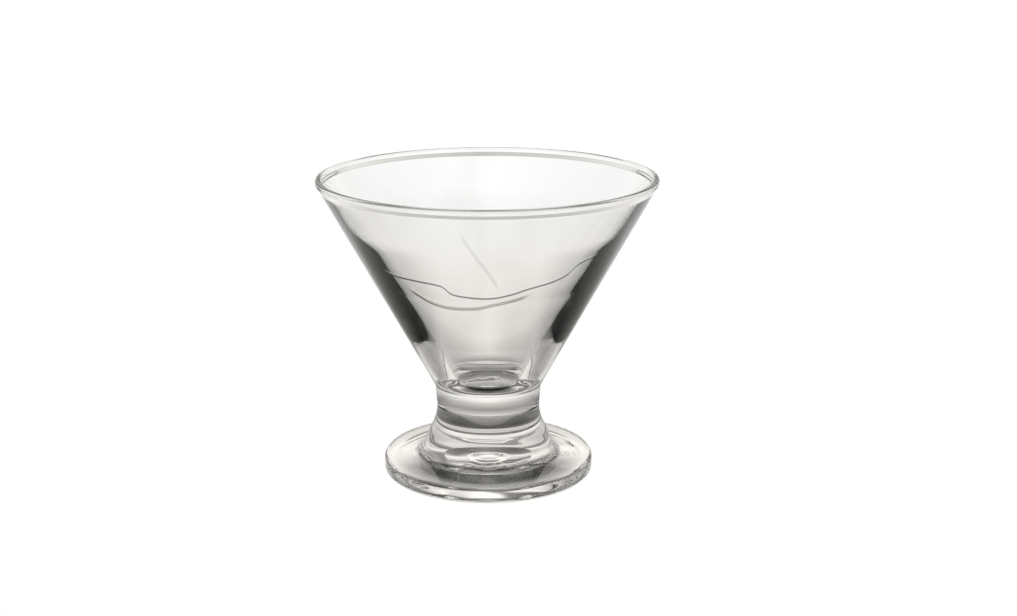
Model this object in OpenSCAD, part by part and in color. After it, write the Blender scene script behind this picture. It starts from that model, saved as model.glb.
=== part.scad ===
// Ice cream glass pressed in one piece of clear glass.
// A round foot flares up into a short solid neck, and the bowl above it is a
// wide cone. The origin is the middle of the foot, on the table, and Z is up.

/* [Overall] */
// Height from the table to the top of the rim
glass_h = 90; // [84:1:110]
// Outer diameter of the rim
rim_d = 100; // [92:1:120]

/* [Foot] */
// Outer diameter of the foot
foot_d = 63; // [58:1:76]
// Height of the foot's upright edge
foot_edge_h = 4.9; // [4:0.1:6]
// Rounding of the foot's upper and lower edge
foot_round = 1.2; // [0.6:0.1:1.8]
// How much the foot's top face rises on its way in to the flare
foot_rise = 0.6; // [0.2:0.1:1.5]
// Depth of the hollow under the foot, which narrows evenly up to its middle
hollow_h = 1.9; // [1:0.1:3.5]
// Diameter of the flat middle of that hollow
hollow_d = 7; // [5:0.5:12]
// Width of the ring that the glass stands on
ring_w = 3.5; // [3:0.1:7]

/* [Neck] */
// Diameter of the flare where it leaves the foot
flare_d = 41.6; // [38:0.2:46]
// Diameter of the neck at its waist
waist_d = 30.3; // [27:0.1:31]
// Height of the flare, from the top of the foot's edge to the waist
flare_h = 12.6; // [10:0.2:15]
// Diameter of the crease between the neck and the bowl
crease_d = 31.8; // [31.2:0.2:35]
// Height of the neck, from the waist to the crease
neck_h = 9.1; // [7:0.1:12]

/* [Bowl] */
// How much the outer wall stands back from the rim's bead
bead_out = 0.9; // [0.4:0.1:1.5]
// Height of the bead around the rim
bead_h = 2.8; // [2.2:0.1:4]
// Thickness of the lip
lip_t = 1.9; // [1.8:0.1:2.4]
// Thickness of the wall under the bead, measured level
wall_t = 1.2; // [1:0.1:1.9]
// How far below the rim the thin upper part of the wall ends
upper_drop = 14; // [11:0.5:17]
// Thickness of the wall there, measured level
upper_t = 1.9; // [1.4:0.05:2.6]
// How far below the rim the wall's upper half ends
shoulder_drop = 29; // [26:0.5:31]
// Thickness of the wall there, measured level
shoulder_t = 3.95; // [2.5:0.05:5]
// How far below the rim the thick lower part of the wall begins
middle_drop = 46; // [43:0.5:48]
// Thickness of the wall there, measured level
middle_t = 6; // [5:0.05:7.5]
// Height of the floor inside the bowl above the crease
floor_over = 1.3; // [0.2:0.1:3]
// Thickness that the wall would have at the floor without its rounding, measured level
base_t = 7.5; // [6.2:0.1:9.5]

/* [Hidden] */

// Largest turn between two points along a rounded stretch, in degrees
arc_step = 6;
// Turn below which a corner needs no rounding, in degrees
least_turn = 0.2;
// Roundings of the pressed shape, each named after the corner that it softens
hollow_round = 60;
ring_round = 3;
flare_round = 3;
waist_round = 14;
crease_round = 2.6;
bead_round = 1.2;
lip_round = lip_t * 0.45;
inner_bead_round = 1;
upper_round = 60;
shoulder_round = 40;
middle_round = 40;
floor_round = 8;
// Part of the bead's height that stands upright below the rim
bead_upright = bead_h * 0.55;

// Heights that follow from the sizes above
waist_z = foot_edge_h + flare_h;
crease_z = waist_z + neck_h;
wall_top_z = glass_h - bead_h;
upper_z = glass_h - upper_drop;
shoulder_z = glass_h - shoulder_drop;
middle_z = glass_h - middle_drop;
floor_z = crease_z + floor_over;

// Turn at the edge of the hollow's flat middle, and the largest rounding that fits there
hollow_turn = atan(hollow_h / (foot_d / 2 - ring_w - hollow_d / 2));
hollow_room = 0.45 * hollow_d / tan(hollow_turn / 2);

// Radius of the bowl's outer wall at its top, and at any height below that
wall_top_r = rim_d / 2 - bead_out;
function wall_r(z) =
    crease_d / 2 + (wall_top_r - crease_d / 2) * (z - crease_z) / (wall_top_z - crease_z);

// Corners of the section as [radius, height, rounding], from the middle of the
// underside outwards, up the outside, over the rim and down to the floor
section = [
    [0, hollow_h, 0],
    [hollow_d / 2, hollow_h, min(hollow_round, hollow_room)],
    [foot_d / 2 - ring_w, 0, ring_round],
    [foot_d / 2, 0, foot_round],
    [foot_d / 2, foot_edge_h, foot_round],
    [flare_d / 2, foot_edge_h + foot_rise, flare_round],
    [waist_d / 2, waist_z, waist_round],
    [crease_d / 2, crease_z, crease_round],
    [wall_top_r, wall_top_z, bead_round],
    [rim_d / 2, glass_h - bead_upright, bead_round / 2],
    [rim_d / 2, glass_h, lip_round],
    [rim_d / 2 - lip_t, glass_h, lip_round],
    [wall_top_r - wall_t, wall_top_z, inner_bead_round],
    [wall_r(upper_z) - upper_t, upper_z, upper_round],
    [wall_r(shoulder_z) - shoulder_t, shoulder_z, shoulder_round],
    [wall_r(middle_z) - middle_t, middle_z, middle_round],
    [wall_r(floor_z) - base_t, floor_z, floor_round],
    [0, floor_z, 0],
];

// Direction of v at length 1
function unit(v) = v / norm(v);

// Arc that rounds corner b on the way from a to c, touching both its sides;
// where the way hardly turns, the corner stays a point
function arc(a, b, c, rounding) =
    let (
        back = unit(a - b),
        ahead = unit(c - b),
        half = acos(max(-1, back * ahead)) / 2,
        centre = b + unit(back + ahead) * rounding / sin(half),
        spoke = b + back * rounding / tan(half) - centre,
        turn = 180 - 2 * half,
        side = sign(cross(ahead, back)),
        steps = ceil(turn / arc_step) + 1
    )
    turn < least_turn ? [b] : [
        for (i = [0:steps])
            let (angle = side * turn * i / steps)
            centre + spoke * cos(angle) + [-spoke.y, spoke.x] * sin(angle)
    ];

// Outline through a list of corners, each replaced by its arc
function rounded(corners) = [
    for (i = [0:len(corners) - 1])
        let (b = corners[i])
        if (b.z == 0)
            [b.x, b.y]
        else
            let (a = corners[i - 1], c = corners[i + 1])
            each arc([a.x, a.y], [b.x, b.y], [c.x, c.y], b.z)
];

// Foot, neck and bowl, one body of revolution
module ice_cream_glass() {
    color([0.93, 0.95, 0.96, 0.35])
        rotate_extrude($fn = 180)
            polygon(rounded(section));
}

ice_cream_glass();
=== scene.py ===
"""Ice cream glass pressed in one piece of clear glass, standing on a pale studio floor."""

import logging
import math
from dataclasses import dataclass, field
from enum import Enum

import bmesh
import bpy
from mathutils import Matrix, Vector


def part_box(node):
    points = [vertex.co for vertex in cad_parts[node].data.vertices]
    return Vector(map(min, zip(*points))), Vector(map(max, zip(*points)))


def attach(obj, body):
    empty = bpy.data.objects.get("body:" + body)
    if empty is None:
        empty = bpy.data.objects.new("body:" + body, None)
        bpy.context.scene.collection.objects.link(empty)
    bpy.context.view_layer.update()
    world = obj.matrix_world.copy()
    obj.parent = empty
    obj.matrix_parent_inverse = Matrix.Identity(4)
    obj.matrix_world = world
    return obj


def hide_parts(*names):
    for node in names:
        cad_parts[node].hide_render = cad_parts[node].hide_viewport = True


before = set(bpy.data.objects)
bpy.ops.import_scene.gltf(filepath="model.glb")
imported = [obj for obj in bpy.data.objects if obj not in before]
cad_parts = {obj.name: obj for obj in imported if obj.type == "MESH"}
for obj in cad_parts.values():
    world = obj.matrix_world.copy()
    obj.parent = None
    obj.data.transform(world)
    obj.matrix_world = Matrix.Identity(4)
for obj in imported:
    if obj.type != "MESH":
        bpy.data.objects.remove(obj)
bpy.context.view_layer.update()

MM = 0.001
BODY = "root"
NODE = "ice_cream_glass"

log = logging.getLogger("ice_cream_glass")


@dataclass(frozen=True)
class Corner:
    """One corner of the half section, with the radius that softens it.

    Args:
        radius: Distance from the axis, in metres.
        height: Height above the floor, in metres.
        rounding: Radius of the arc that replaces the corner, in metres; 0 keeps it sharp.
    """

    radius: float
    height: float
    rounding: float = 0.0

    def point(self) -> Vector:
        """The corner in the plane of the section."""
        return Vector((self.radius, 0.0, self.height))


class SectionPen:
    """Draws the half section as one chain of edges, with bmesh operators.

    Args:
        start: First point of the outline.
        piece: Longest straight piece, in metres.
        turn: Largest turn between two points of an arc, in degrees.
    """

    def __init__(self, start: Vector, piece: float, turn: float) -> None:
        """Starts the chain at its first vertex."""
        self.mesh: bmesh.types.BMesh = bmesh.new()
        self.tip: bmesh.types.BMVert = self.mesh.verts.new(start)
        self.piece = piece
        self.turn = turn

    def line(self, end: Vector) -> None:
        """Draws a straight stretch in even pieces.

        Args:
            end: Where the stretch ends.
        """
        way = end - self.tip.co
        count = max(1, math.ceil(way.length / self.piece))
        for _ in range(count):
            made = bmesh.ops.extrude_vert_indiv(self.mesh, verts=[self.tip])
            self.tip = made["verts"][0]
            bmesh.ops.translate(self.mesh, verts=[self.tip], vec=way / count)

    def arc(self, centre: Vector, angle: float) -> None:
        """Draws an arc about a centre, from the tip.

        Args:
            centre: Centre of the arc.
            angle: How far it turns about +Y, in radians.
        """
        count = max(2, math.ceil(abs(math.degrees(angle)) / self.turn))
        made = bmesh.ops.spin(
            self.mesh,
            geom=[self.tip],
            cent=centre,
            axis=(0.0, 1.0, 0.0),
            angle=angle,
            steps=count,
            use_merge=False,
            use_duplicate=False,
        )
        self.tip = next(g for g in made["geom_last"] if isinstance(g, bmesh.types.BMVert))

    def corner(self, before: Corner, here: Corner, after: Corner) -> None:
        """Draws up to a corner and along its arc.

        Args:
            before: The corner that the outline comes from.
            here: The corner that is rounded.
            after: The corner that the outline goes on to.
        """
        back = (before.point() - here.point()).normalized()
        ahead = (after.point() - here.point()).normalized()
        half = back.angle(ahead) / 2
        turn = math.pi - 2 * half
        if here.rounding <= 0 or turn < math.radians(0.2):
            self.line(here.point())
            return
        centre = here.point() + (back + ahead).normalized() * here.rounding / math.sin(half)
        self.line(here.point() + back * here.rounding / math.tan(half))
        self.arc(centre, math.copysign(turn, ahead.cross(back).y))


@dataclass
class PressedGlass:
    """The glass itself: foot, neck and bowl in one body of revolution.

    The two outer sizes come from the frame; the others are the pressed shape's own
    sizes, as in the part's source. All lengths are in metres, and walls are measured level.

    Args:
        height: Height from the floor to the top of the rim.
        rim_radius: Outer radius of the rim.
        foot_radius: Radius of the foot.
        foot_edge: Height of the foot's upright edge.
        foot_round: Rounding of the foot's upper and lower edge.
        foot_rise: How much the foot's top face rises on its way in to the flare.
        hollow_height: Height of the hollow's flat middle above the floor.
        hollow_radius: Radius of that flat middle.
        hollow_round: Rounding around the flat middle.
        ring_width: Width of the ring that the glass stands on.
        ring_round: Rounding of the ring's inner edge.
        flare_radius: Radius of the flare where it leaves the foot.
        flare_round: Rounding there.
        waist_radius: Radius of the neck at its waist.
        waist_height: Height of the waist above the floor.
        waist_round: Rounding of the waist.
        crease_radius: Radius of the crease between the neck and the bowl.
        crease_height: Height of the crease above the floor.
        crease_round: Rounding of the crease.
        bead_out: How much the outer wall stands back from the rim's bead.
        bead_height: Height of the bead around the rim.
        bead_round: Rounding of the bead's lower edge.
        lip: Thickness of the lip.
        wall: Thickness of the wall under the bead.
        upper_drop: How far below the rim the thin upper part of the wall ends.
        upper_wall: Thickness of the wall there.
        upper_round: Rounding there.
        shoulder_drop: How far below the rim the wall's upper half ends.
        shoulder_wall: Thickness of the wall there.
        shoulder_round: Rounding there.
        middle_drop: How far below the rim the thick lower part of the wall begins.
        middle_wall: Thickness of the wall there.
        middle_round: Rounding there.
        floor_height: Height of the bowl's floor.
        floor_wall: Thickness that the wall would have at the floor without its rounding.
        floor_round: Rounding between the wall and the bowl's floor.
        segments: Steps around the axis.
        piece: Longest straight piece of the section.
        arc_turn: Largest turn between two points of an arc, in degrees.
        finish: What the glass is made of.
    """

    height: float
    rim_radius: float
    foot_radius: float = 31.5 * MM
    foot_edge: float = 4.9 * MM
    foot_round: float = 1.2 * MM
    foot_rise: float = 0.6 * MM
    hollow_height: float = 1.9 * MM
    hollow_radius: float = 3.5 * MM
    hollow_round: float = 60.0 * MM
    ring_width: float = 3.5 * MM
    ring_round: float = 3.0 * MM
    flare_radius: float = 20.8 * MM
    flare_round: float = 3.0 * MM
    waist_radius: float = 15.15 * MM
    waist_height: float = 17.5 * MM
    waist_round: float = 14.0 * MM
    crease_radius: float = 15.9 * MM
    crease_height: float = 26.6 * MM
    crease_round: float = 2.6 * MM
    bead_out: float = 0.9 * MM
    bead_height: float = 2.8 * MM
    bead_round: float = 1.2 * MM
    lip: float = 1.9 * MM
    wall: float = 1.2 * MM
    upper_drop: float = 14.0 * MM
    upper_wall: float = 1.9 * MM
    upper_round: float = 60.0 * MM
    shoulder_drop: float = 29.0 * MM
    shoulder_wall: float = 3.95 * MM
    shoulder_round: float = 40.0 * MM
    middle_drop: float = 46.0 * MM
    middle_wall: float = 6.0 * MM
    middle_round: float = 40.0 * MM
    floor_height: float = 27.9 * MM
    floor_wall: float = 7.5 * MM
    floor_round: float = 8.0 * MM
    segments: int = 192
    piece: float = 1.1 * MM
    arc_turn: float = 2.5
    finish: "ClearGlass" = field(default_factory=lambda: ClearGlass())

    @property
    def wall_top(self) -> float:
        """Height where the bead begins."""
        return self.height - self.bead_height

    def wall_radius(self, height: float) -> float:
        """Outer radius of the bowl's wall at a height.

        Args:
            height: Height above the floor, in metres.

        Returns:
            The radius in metres.
        """
        top = self.rim_radius - self.bead_out
        share = (height - self.crease_height) / (self.wall_top - self.crease_height)
        return self.crease_radius + (top - self.crease_radius) * share

    def corners(self) -> list[Corner]:
        """Corners of the section, from the middle of the underside to the bowl's floor.

        Returns:
            The corners in order, with the glass on the left of the way.
        """
        upper = self.height - self.upper_drop
        shoulder = self.height - self.shoulder_drop
        middle = self.height - self.middle_drop
        floor_radius = self.wall_radius(self.floor_height) - self.floor_wall
        wall_top_radius = self.rim_radius - self.bead_out
        return [
            Corner(0.0, self.hollow_height),
            Corner(self.hollow_radius, self.hollow_height, self.hollow_round),
            Corner(self.foot_radius - self.ring_width, 0.0, self.ring_round),
            Corner(self.foot_radius, 0.0, self.foot_round),
            Corner(self.foot_radius, self.foot_edge, self.foot_round),
            Corner(self.flare_radius, self.foot_edge + self.foot_rise, self.flare_round),
            Corner(self.waist_radius, self.waist_height, self.waist_round),
            Corner(self.crease_radius, self.crease_height, self.crease_round),
            Corner(wall_top_radius, self.wall_top, self.bead_round),
            Corner(self.rim_radius, self.height - self.bead_height * 0.55, self.bead_round / 2),
            Corner(self.rim_radius, self.height, self.lip * 0.45),
            Corner(self.rim_radius - self.lip, self.height, self.lip * 0.45),
            Corner(wall_top_radius - self.wall, self.wall_top, 1.0 * MM),
            Corner(self.wall_radius(upper) - self.upper_wall, upper, self.upper_round),
            Corner(self.wall_radius(shoulder) - self.shoulder_wall, shoulder, self.shoulder_round),
            Corner(self.wall_radius(middle) - self.middle_wall, middle, self.middle_round),
            Corner(floor_radius, self.floor_height, self.floor_round),
            Corner(0.0, self.floor_height),
        ]

    def wall_middle(self) -> tuple[tuple[float, ...], tuple[float, ...]]:
        """Finds the middle of the bowl's wall.

        Returns:
            Heights, rising, and the radius of the wall's middle at each.
        """
        walls = (
            (self.floor_height, self.floor_wall),
            (self.height - self.middle_drop, self.middle_wall),
            (self.height - self.shoulder_drop, self.shoulder_wall),
            (self.height - self.upper_drop, self.upper_wall),
            (self.height, self.wall),
        )
        return tuple(z for z, _ in walls), tuple(self.wall_radius(z) - wall / 2 for z, wall in walls)

    def build(self) -> bpy.types.Object:
        """Spins the section into the glass.

        Returns:
            The glass, dressed and tied to the frame.
        """
        corners = self.corners()
        pen = SectionPen(corners[0].point(), self.piece, self.arc_turn)
        for before, here, after in zip(corners, corners[1:], corners[2:]):
            pen.corner(before, here, after)
        pen.line(corners[-1].point())
        mesh = pen.mesh
        bmesh.ops.spin(
            mesh,
            geom=mesh.verts[:] + mesh.edges[:],
            cent=(0.0, 0.0, 0.0),
            axis=(0.0, 0.0, 1.0),
            angle=math.tau,
            steps=self.segments,
            use_merge=True,
            use_duplicate=False,
        )
        bmesh.ops.remove_doubles(mesh, verts=mesh.verts[:], dist=1e-6)
        bmesh.ops.recalc_face_normals(mesh, faces=mesh.faces[:])
        for face in mesh.faces:
            face.smooth = True
        data = bpy.data.meshes.new("pressed_glass")
        mesh.to_mesh(data)
        mesh.free()
        glass = bpy.data.objects.new("pressed_glass", data)
        bpy.context.scene.collection.objects.link(glass)
        data.materials.append(self.finish.material(*self.wall_middle()))
        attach(glass, BODY)
        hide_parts(NODE)
        log.info("pressed glass: %d faces", len(data.polygons))
        return glass


class NodeBench:
    """Adds shader nodes to one tree and wires them.

    Args:
        tree: The tree that the nodes go into.
    """

    def __init__(self, tree: bpy.types.NodeTree) -> None:
        """Empties the tree."""
        self.tree = tree
        self.tree.nodes.clear()

    def add(self, kind: str, **settings: object) -> bpy.types.Node:
        """Adds a node.

        Args:
            kind: The node's type name.
            **settings: Properties of the node itself.

        Returns:
            The new node.
        """
        node = self.tree.nodes.new(kind)
        for name, value in settings.items():
            setattr(node, name, value)
        return node

    def feed(self, target: bpy.types.NodeSocket, value: object) -> None:
        """Sets a socket, or wires another one into it.

        Args:
            target: The socket that takes the value.
            value: A number, a colour or an output socket.
        """
        if isinstance(value, bpy.types.NodeSocket):
            self.tree.links.new(value, target)
        else:
            target.default_value = value

    def calc(self, operation: str, *values: object) -> bpy.types.NodeSocket:
        """Adds a maths node.

        Args:
            operation: What it does, such as MULTIPLY.
            *values: Its inputs, numbers or sockets.

        Returns:
            Its output.
        """
        node = self.add("ShaderNodeMath", operation=operation)
        for socket, value in zip(node.inputs, values):
            self.feed(socket, value)
        return node.outputs[0]

    def ramp(
        self,
        value: object,
        low: float,
        high: float,
        first: float = 0.0,
        last: float = 1.0,
    ) -> bpy.types.NodeSocket:
        """Turns a range of one value smoothly into another.

        Args:
            value: The value that is read.
            low: Where the change starts.
            high: Where it ends.
            first: Result below the change.
            last: Result above it.

        Returns:
            The result's socket.
        """
        node = self.add("ShaderNodeMapRange", interpolation_type="SMOOTHSTEP")
        for socket, number in zip(node.inputs, (value, low, high, first, last)):
            self.feed(socket, number)
        return node.outputs[0]

    def reach(self, x: object, y: object) -> bpy.types.NodeSocket:
        """Distance from the glass's axis, from the two level parts of a place."""
        return self.calc("SQRT", self.calc("ADD", self.calc("MULTIPLY", x, x), self.calc("MULTIPLY", y, y)))

    def stops(
        self,
        value: object,
        places: tuple[float, ...],
        levels: tuple[float, ...],
    ) -> bpy.types.NodeSocket:
        """Reads a level off a row of stops, evenly blended between them.

        Args:
            value: The value that is read.
            places: Where the stops lie, rising.
            levels: The level at each stop.

        Returns:
            The level's socket.
        """
        result: object = levels[0]
        for (low, high), (first, last) in zip(zip(places, places[1:]), zip(levels, levels[1:])):
            if first != last:
                node = self.add("ShaderNodeMapRange")
                for socket, number in zip(node.inputs, (value, low, high, 0.0, last - first)):
                    self.feed(socket, number)
                result = self.calc("ADD", result, node.outputs[0])
        return result if isinstance(result, bpy.types.NodeSocket) else self.calc("ADD", result, 0.0)

    def curve(
        self,
        value: object,
        places: tuple[float, ...],
        levels: tuple[float, ...],
    ) -> bpy.types.NodeSocket:
        """Reads a level off a smooth curve through a row of stops.

        Args:
            value: The value that is read.
            places: Where the stops lie, rising.
            levels: The level at each stop.

        Returns:
            The level's socket.
        """
        way = self.add("ShaderNodeMapRange")
        for socket, number in zip(way.inputs, (value, places[0], places[-1], 0.0, 1.0)):
            self.feed(socket, number)
        low, high = min(levels), max(levels)
        node = self.add("ShaderNodeFloatCurve")
        self.feed(node.inputs["Value"], way.outputs[0])
        points = node.mapping.curves[0].points
        points[0].location = (0.0, (levels[0] - low) / (high - low))
        points[1].location = (1.0, (levels[-1] - low) / (high - low))
        for place, level in zip(places[1:-1], levels[1:-1]):
            points.new((place - places[0]) / (places[-1] - places[0]), (level - low) / (high - low))
        node.mapping.update()
        return self.calc("MULTIPLY_ADD", node.outputs[0], high - low, low)

    def field(
        self,
        value: object,
        places: tuple[float, ...],
        turn: object,
        rows: "tuple[Tone, ...]",
    ) -> bpy.types.NodeSocket:
        """Blends rows of stops by the angle round the glass.

        Args:
            value: The distance or elevation that the stops are read by.
            places: Where the stops lie.
            turn: Angle from straight behind the glass.
            rows: The tones towards each side, by rising angle.

        Returns:
            The level's socket.
        """
        result = self.stops(value, places, rows[0].levels)
        for row, after in zip(rows, rows[1:]):
            change = tuple(b - a for a, b in zip(row.levels, after.levels))
            share = self.add("ShaderNodeMapRange")
            for socket, number in zip(share.inputs, (turn, row.turn, after.turn, 0.0, 1.0)):
                self.feed(socket, number)
            step = self.calc("MULTIPLY", self.stops(value, places, change), share.outputs[0])
            result = self.calc("ADD", result, step)
        return result


class Skin(Enum):
    """The side of the bowl's wall that a mark lies on."""

    INSIDE = "inside"
    OUTSIDE = "outside"


@dataclass(frozen=True)
class Stroke:
    """A fine line painted into the bowl's colour, with a slight ridge in its skin.

    Args:
        skin: The side of the wall that it lies on.
        path: Its way as (angle, height), the angle in degrees from the camera's side and
            positive to the right, the height in millimetres above the floor.
        half_width: Half its width, measured in height, in metres.
        dark: How much light it holds back, from 0 to 1.
        tone: Colour of the light that it lets through.
        ridge: How far it stands out of the skin, in metres.
    """

    skin: Skin
    path: tuple[tuple[float, float], ...]
    half_width: float
    dark: float
    tone: tuple[float, float, float, float]
    ridge: float


@dataclass(frozen=True)
class ClearGlass:
    """Clear pressed glass: hardly any colour, polished, with slow waves and a few fine strokes.

    Depths, heights and reaches are in metres, and each scale is that of a noise texture.

    Args:
        tint: Colour of the glass.
        ior: Refractive index.
        wave_scale: Scale of the slow waves.
        wave_depth: Height of the slow waves.
        ripple_scale: Scale of the fine ripples.
        ripple_depth: Height of the fine ripples.
        strokes: Fine lines painted into the bowl's colour; the first is a painted reflection.
        cloud_scale: Scale of the cloudy streaks.
        cloud_stretch: How that scale differs along X, Y and Z.
        cloud_tint: Colour of the glass in the thick of a streak.
        dent_scale: Scale of the dents under the foot.
        dent_depth: Height of the dents.
        dent_reach: Distance from the axis at which the dents have faded out.
        dent_top: Height up to which the skin counts as the underside.
        pip_reach: Radius of the pip in the middle of the underside.
        pip_depth: Height of the pip.
        dimple_reach: Radius of the dimple around the pip.
        dimple_depth: Depth of the dimple.
    """

    tint: tuple[float, float, float, float] = (0.994, 0.993, 0.99, 1.0)
    ior: float = 1.52
    wave_scale: float = 38.0
    wave_depth: float = 0.22 * MM
    ripple_scale: float = 120.0
    ripple_depth: float = 0.03 * MM
    strokes: tuple[Stroke, ...] = (
        # painted reflection: a near-black line for the back edge of the studio floor seen in the glass
        Stroke(
            Skin.INSIDE,
            (
                (-54.0, 69.4),
                (-45.0, 67.3),
                (-33.0, 66.7),
                (-22.0, 65.9),
                (-17.0, 63.4),
                (-11.0, 62.7),
                (0.0, 62.3),
                (10.0, 63.3),
                (19.0, 65.0),
                (29.0, 66.4),
                (36.0, 68.1),
                (41.0, 71.4),
                (52.0, 73.4),
            ),
            0.4 * MM,
            0.97,
            (0.015, 0.013, 0.012, 1.0),
            0.02 * MM,
        ),
        Stroke(
            Skin.INSIDE,
            (
                (-41.0, 64.3),
                (-36.0, 62.1),
                (-28.0, 59.8),
                (-20.0, 58.9),
                (-7.0, 59.0),
                (2.0, 60.1),
                (14.0, 61.8),
                (22.0, 63.6),
            ),
            0.8 * MM,
            0.85,
            (0.2, 0.16, 0.11, 1.0),
            0.04 * MM,
        ),
        Stroke(
            Skin.INSIDE,
            ((-9.7, 83.6), (-5.0, 76.5), (0.0, 71.0), (4.7, 66.0)),
            1.3 * MM,
            0.4,
            (0.4, 0.38, 0.35, 1.0),
            0.04 * MM,
        ),
    )
    cloud_scale: float = 42.0
    cloud_stretch: tuple[float, float, float] = (1.0, 1.0, 0.4)
    cloud_tint: tuple[float, float, float, float] = (0.93, 0.925, 0.915, 1.0)
    dent_scale: float = 130.0
    dent_depth: float = 0.45 * MM
    dent_reach: float = 29.0 * MM
    dent_top: float = 2.3 * MM
    pip_reach: float = 4.5 * MM
    pip_depth: float = 0.5 * MM
    dimple_reach: float = 9.0 * MM
    dimple_depth: float = 1.5 * MM

    def material(self, heights: tuple[float, ...], middles: tuple[float, ...]) -> bpy.types.Material:
        """Makes the material.

        Args:
            heights: Heights at which the middle of the bowl's wall is given, rising.
            middles: Radius of the middle of the wall at those heights.

        Returns:
            The material.
        """
        material = bpy.data.materials.new("clear_pressed_glass")
        material.use_nodes = True
        bench = NodeBench(material.node_tree)
        place = bench.add("ShaderNodeTexCoord").outputs["Object"]
        split = bench.add("ShaderNodeSeparateXYZ")
        bench.feed(split.inputs[0], place)
        x, y, height = split.outputs
        angle = bench.calc("DEGREES", bench.calc("ARCTAN2", x, bench.calc("MULTIPLY", y, -1.0)))
        reach = bench.reach(x, y)
        inside = bench.calc("LESS_THAN", reach, bench.stops(height, heights, middles))
        colour = self.clouds(bench, place)
        relief = bench.calc("ADD", self.waves(bench, place), self.dents(bench, place, reach, height))
        # painted lines: each stroke darkens the glass's colour along its path, the first as a painted
        # reflection
        for stroke in self.strokes:
            share = self.share(bench, stroke, angle, height, inside)
            blend = bench.add("ShaderNodeMix", data_type="RGBA")
            bench.feed(blend.inputs[0], bench.calc("MULTIPLY", share, stroke.dark))
            bench.feed(blend.inputs[6], colour)
            bench.feed(blend.inputs[7], stroke.tone)
            colour = blend.outputs[2]
            relief = bench.calc("ADD", relief, bench.calc("MULTIPLY", share, stroke.ridge))
        bump = bench.add("ShaderNodeBump")
        bump.inputs["Strength"].default_value = 1.0
        bump.inputs["Distance"].default_value = 1.0
        bench.feed(bump.inputs["Height"], relief)
        shader = bench.add("ShaderNodeBsdfPrincipled")
        bench.feed(shader.inputs["Base Color"], colour)
        bench.feed(shader.inputs["Normal"], bump.outputs[0])
        shader.inputs["Roughness"].default_value = 0.0
        shader.inputs["IOR"].default_value = self.ior
        shader.inputs["Transmission Weight"].default_value = 1.0
        output = bench.add("ShaderNodeOutputMaterial")
        bench.feed(output.inputs["Surface"], shader.outputs[0])
        return material

    def clouds(self, bench: NodeBench, place: bpy.types.NodeSocket) -> bpy.types.NodeSocket:
        """Makes the faint cloudy streaks that run up the glass.

        Args:
            bench: Where the nodes go.
            place: Object coordinates.

        Returns:
            The glass's colour.
        """
        stretch = bench.add("ShaderNodeVectorMath", operation="MULTIPLY")
        bench.feed(stretch.inputs[0], place)
        bench.feed(stretch.inputs[1], self.cloud_stretch)
        noise = bench.add("ShaderNodeTexNoise")
        bench.feed(noise.inputs["Vector"], stretch.outputs[0])
        noise.inputs["Scale"].default_value = self.cloud_scale
        noise.inputs["Detail"].default_value = 4.0
        blend = bench.add("ShaderNodeMix", data_type="RGBA")
        bench.feed(blend.inputs[0], bench.ramp(noise.outputs[0], 0.5, 0.75))
        bench.feed(blend.inputs[6], self.tint)
        bench.feed(blend.inputs[7], self.cloud_tint)
        return blend.outputs[2]

    def waves(self, bench: NodeBench, place: bpy.types.NodeSocket) -> bpy.types.NodeSocket:
        """Makes the slow waves and fine ripples of the pressed skin.

        Args:
            bench: Where the nodes go.
            place: Object coordinates.

        Returns:
            Their relief in metres.
        """
        relief: object = 0.0
        for scale, depth in ((self.wave_scale, self.wave_depth), (self.ripple_scale, self.ripple_depth)):
            noise = bench.add("ShaderNodeTexNoise")
            bench.feed(noise.inputs["Vector"], place)
            noise.inputs["Scale"].default_value = scale
            noise.inputs["Detail"].default_value = 0.0
            relief = bench.calc("ADD", relief, bench.calc("MULTIPLY", noise.outputs[0], depth))
        return relief

    def dents(
        self,
        bench: NodeBench,
        place: bpy.types.NodeSocket,
        reach: bpy.types.NodeSocket,
        height: bpy.types.NodeSocket,
    ) -> bpy.types.NodeSocket:
        """Makes the uneven skin, the dimple and the pip of the hollow under the foot.

        Args:
            bench: Where the nodes go.
            place: Object coordinates.
            reach: Distance from the axis, in metres.
            height: Height above the floor, in metres.

        Returns:
            Its relief in metres, 0 everywhere else.
        """
        noise = bench.add("ShaderNodeTexNoise")
        bench.feed(noise.inputs["Vector"], place)
        noise.inputs["Scale"].default_value = self.dent_scale
        noise.inputs["Detail"].default_value = 0.0
        under = bench.calc("LESS_THAN", height, self.dent_top)
        fade = bench.ramp(reach, self.dent_reach * 0.85, self.dent_reach, 1.0, 0.0)
        bumps = bench.calc("MULTIPLY", bench.calc("MULTIPLY", noise.outputs[0], self.dent_depth), fade)
        pip = bench.ramp(reach, self.pip_reach * 0.4, self.pip_reach, self.pip_depth, 0.0)
        way = bench.calc("POWER", bench.calc("DIVIDE", reach, self.dimple_reach), 2.0)
        bowl = bench.calc("MINIMUM", bench.calc("SUBTRACT", way, 1.0), 0.0)
        dimple = bench.calc("MULTIPLY", bowl, self.dimple_depth)
        return bench.calc("MULTIPLY", bench.calc("ADD", bench.calc("ADD", bumps, pip), dimple), under)

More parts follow.
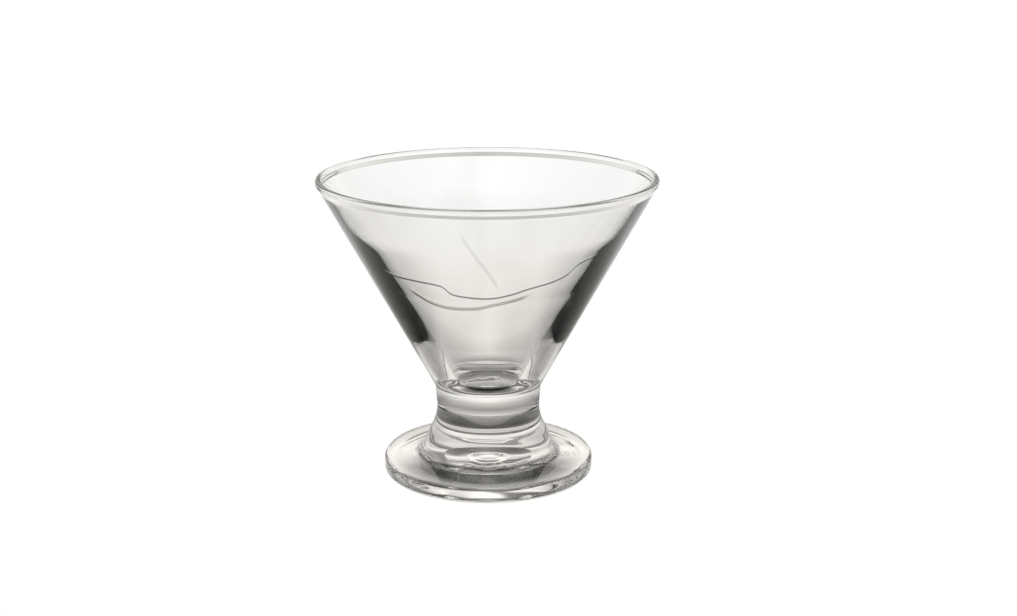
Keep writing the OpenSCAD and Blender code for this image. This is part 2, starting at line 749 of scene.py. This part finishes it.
    def share(
        self,
        bench: NodeBench,
        stroke: Stroke,
        angle: bpy.types.NodeSocket,
        height: bpy.types.NodeSocket,
        inside: bpy.types.NodeSocket,
    ) -> bpy.types.NodeSocket:
        """Finds how strongly a stroke marks each spot.

        Args:
            bench: Where the nodes go.
            stroke: The mark.
            angle: Angle round the glass, in degrees from the camera's side.
            height: Height above the floor, in metres.
            inside: 1 on the inner skin, 0 on the outer one.

        Returns:
            From 0 off the mark to 1 on its middle.
        """
        angles = tuple(float(a) for a, _ in stroke.path)
        line = bench.curve(angle, angles, tuple(h * MM for _, h in stroke.path))
        off = bench.calc("ABSOLUTE", bench.calc("SUBTRACT", height, line))
        share = bench.ramp(off, stroke.half_width * 0.3, stroke.half_width, 1.0, 0.0)
        middle, span = (angles[0] + angles[-1]) / 2, (angles[-1] - angles[0]) / 2
        way = bench.calc("ABSOLUTE", bench.calc("SUBTRACT", angle, middle))
        share = bench.calc("MULTIPLY", share, bench.ramp(way, span * 0.8, span, 1.0, 0.0))
        side = inside if stroke.skin is Skin.INSIDE else bench.calc("SUBTRACT", 1.0, inside)
        return bench.calc("MULTIPLY", share, side)


@dataclass(frozen=True)
class Tone:
    """How bright the studio is towards one side.

    Args:
        turn: Angle of that side from straight behind the glass, in degrees.
        levels: Brightness at each stop, outwards on the floor, where it is painted light and shade, or
            upwards above it.
    """

    turn: float
    levels: tuple[float, ...]


@dataclass
class Studio:
    """Pale floor that glows with painted light and shade, soft light all round and the camera.

    Args:
        floor_reach: Distances from the axis at which the floor's tones are given, in metres.
        floor_painted_light: The floor's painted light and shade towards each side, by rising angle.
        sky_rise: Elevations at which the light's tones are given, in degrees.
        sky_tones: The light's tones towards each side, by rising angle.
        warm: Colour of the light, and of the painted light on the floor near the glass.
        floor_size: Length of the floor's sides, in metres.
        eye: Where the camera stands, in metres.
        tilt: How far the camera looks down, in degrees.
        yaw: How far the camera is turned to the right, in degrees.
        lens: Focal length in millimetres.
    """

    floor_reach: tuple[float, ...] = (
        8 * MM,
        16 * MM,
        23 * MM,
        29 * MM,
        38 * MM,
        55 * MM,
        90 * MM,
        170 * MM,
        400 * MM,
        1000 * MM,
    )
    # painted light and shade of the floor's glow: dark painted shade under the foot, brighter further out
    floor_painted_light: tuple[Tone, ...] = (
        Tone(0.0, (0.1, 0.05, 0.2, 0.35, 0.85, 0.3, 1.0, 0.97, 1.1, 1.05)),
        Tone(40.0, (0.2, 0.2, 0.3, 0.75, 0.4, 0.35, 0.4, 0.95, 0.7, 1.0)),
        Tone(80.0, (0.1, 0.25, 1.0, 1.0, 0.4, 0.05, 0.4, 0.8, 0.9, 1.0)),
        Tone(120.0, (0.0, 0.0, 0.0, 0.7, 1.2, 0.5, 0.5, 0.2, 0.3, 0.9)),
        Tone(136.0, (0.0, 0.0, 0.0, 0.7, 1.2, 0.6, 0.8, 0.9, 1.0, 1.0)),
    )
    sky_rise: tuple[float, ...] = (0.0, 8.0, 16.0, 26.0, 40.0, 90.0)
    sky_tones: tuple[Tone, ...] = (
        Tone(0.0, (1.1, 0.55, 0.95, 1.3, 0.3, 0.25)),
        Tone(30.0, (0.6, 0.7, 1.1, 0.3, 0.15, 0.25)),
        Tone(102.0, (0.25, 0.5, 0.35, 0.35, 0.1, 0.3)),
        Tone(116.0, (0.3, 0.0, 0.0, 0.0, 0.05, 0.3)),
    )
    warm: tuple[float, float, float, float] = (1.0, 0.975, 0.925, 1.0)
    floor_size: float = 12.0
    eye: tuple[float, float, float] = (0.0, -450.25 * MM, 173.96 * MM)
    tilt: float = 15.41
    yaw: float = 0.78
    lens: float = 55.46

    def turn(
        self,
        bench: NodeBench,
        x: bpy.types.NodeSocket,
        y: bpy.types.NodeSocket,
    ) -> bpy.types.NodeSocket:
        """Angle from straight behind the glass, the same on both sides.

        Args:
            bench: Where the nodes go.
            x: Sideways part of the way.
            y: Part of the way towards the backdrop.

        Returns:
            The angle in degrees.
        """
        return bench.calc("DEGREES", bench.calc("ABSOLUTE", bench.calc("ARCTAN2", x, y)))

    def light(self) -> None:
        """Makes the world that lights the glass and shows white to the camera."""
        world = bpy.data.worlds.new("soft_studio")
        world.use_nodes = True
        bench = NodeBench(world.node_tree)
        place = bench.add("ShaderNodeTexCoord")
        split = bench.add("ShaderNodeSeparateXYZ")
        bench.feed(split.inputs[0], place.outputs["Generated"])
        rise = bench.calc("DEGREES", bench.calc("ARCSINE", split.outputs["Z"]))
        turn = self.turn(bench, split.outputs["X"], split.outputs["Y"])
        level = bench.field(rise, self.sky_rise, turn, self.sky_tones)
        path = bench.add("ShaderNodeLightPath")
        room = bench.add("ShaderNodeBackground")
        bench.feed(room.inputs["Strength"], level)
        bench.feed(room.inputs["Color"], self.warm)
        paper = bench.add("ShaderNodeBackground")
        bench.feed(paper.inputs["Color"], (1.0, 1.0, 1.0, 1.0))
        mix = bench.add("ShaderNodeMixShader")
        bench.feed(mix.inputs[0], path.outputs["Is Camera Ray"])
        bench.feed(mix.inputs[1], room.outputs[0])
        bench.feed(mix.inputs[2], paper.outputs[0])
        output = bench.add("ShaderNodeOutputWorld")
        bench.feed(output.inputs["Surface"], mix.outputs[0])
        bpy.context.scene.world = world

    def floor(self) -> None:
        """Lays the pale floor under the glass, which glows with painted light and shade."""
        mesh = bmesh.new()
        bmesh.ops.create_grid(mesh, x_segments=8, y_segments=8, size=self.floor_size / 2)
        bmesh.ops.translate(mesh, verts=mesh.verts[:], vec=(0.0, 0.0, -0.02 * MM))
        data = bpy.data.meshes.new("pale_floor")
        mesh.to_mesh(data)
        mesh.free()
        floor = bpy.data.objects.new("pale_floor", data)
        bpy.context.scene.collection.objects.link(floor)
        data.materials.append(self.floor_material())

    def floor_material(self) -> bpy.types.Material:
        """Makes the floor's material: pale and white to the camera; to the glass it glows with painted
        light and shade, with painted shade under the foot.

        Returns:
            The material.
        """
        material = bpy.data.materials.new("pale_floor")
        material.use_nodes = True
        bench = NodeBench(material.node_tree)
        place = bench.add("ShaderNodeTexCoord")
        split = bench.add("ShaderNodeSeparateXYZ")
        bench.feed(split.inputs[0], place.outputs["Object"])
        x, y = split.outputs["X"], split.outputs["Y"]
        turn = self.turn(bench, x, y)
        reach = bench.reach(x, y)
        # painted light and shade: the floor's glow by distance and side, dark under the foot
        level = bench.field(reach, self.floor_reach, turn, self.floor_painted_light)
        path = bench.add("ShaderNodeLightPath")
        paper = bench.add("ShaderNodeEmission")
        # camera rays see the floor white; all other rays see the painted light and shade
        bench.feed(paper.inputs["Strength"], bench.calc("MAXIMUM", level, path.outputs["Is Camera Ray"]))
        # painted warm light on the floor near the glass, for rays other than the camera's
        pale = bench.add("ShaderNodeMix", data_type="RGBA")
        away = bench.ramp(reach, 80 * MM, 260 * MM)
        bench.feed(pale.inputs[0], bench.calc("MAXIMUM", away, path.outputs["Is Camera Ray"]))
        bench.feed(pale.inputs[6], self.warm)
        bench.feed(pale.inputs[7], (1.0, 1.0, 1.0, 1.0))
        bench.feed(paper.inputs["Color"], pale.outputs[2])
        output = bench.add("ShaderNodeOutputMaterial")
        bench.feed(output.inputs["Surface"], paper.outputs[0])
        return material

    def camera(self) -> None:
        """Sets the camera at the photograph's viewing angle."""
        data = bpy.data.cameras.new("camera")
        camera = bpy.data.objects.new("camera", data)
        bpy.context.scene.collection.objects.link(camera)
        tilt, yaw = math.radians(self.tilt), math.radians(self.yaw)
        look = Vector((math.sin(yaw) * math.cos(tilt), math.cos(yaw) * math.cos(tilt), -math.sin(tilt)))
        camera.location = self.eye
        camera.rotation_mode = "QUATERNION"
        camera.rotation_quaternion = look.to_track_quat("-Z", "Y")
        data.sensor_width = 36.0
        data.lens = self.lens
        data.clip_start = 0.01
        data.clip_end = 50.0
        bpy.context.scene.camera = camera

    def build(self) -> None:
        """Builds floor, light and camera."""
        self.floor()
        self.light()
        self.camera()
        log.info("studio: floor, light and camera")


def main() -> None:
    """Builds the glass and the studio, and keeps the two boxes."""
    logging.basicConfig(level=logging.INFO, format="%(name)s: %(message)s")
    low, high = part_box(NODE)
    glass = PressedGlass(height=high.z - low.z, rim_radius=min(high.x - low.x, high.y - low.y) / 2)
    glass.build()
    Studio().build()
    scene = bpy.context.scene
    scene.view_settings.view_transform = "Standard"
    scene.cycles.max_bounces = 32
    scene.cycles.transmission_bounces = 32
    scene.cycles.glossy_bounces = 16
    scene.cycles.transparent_max_bounces = 32


if __name__ == "__main__":
    main()
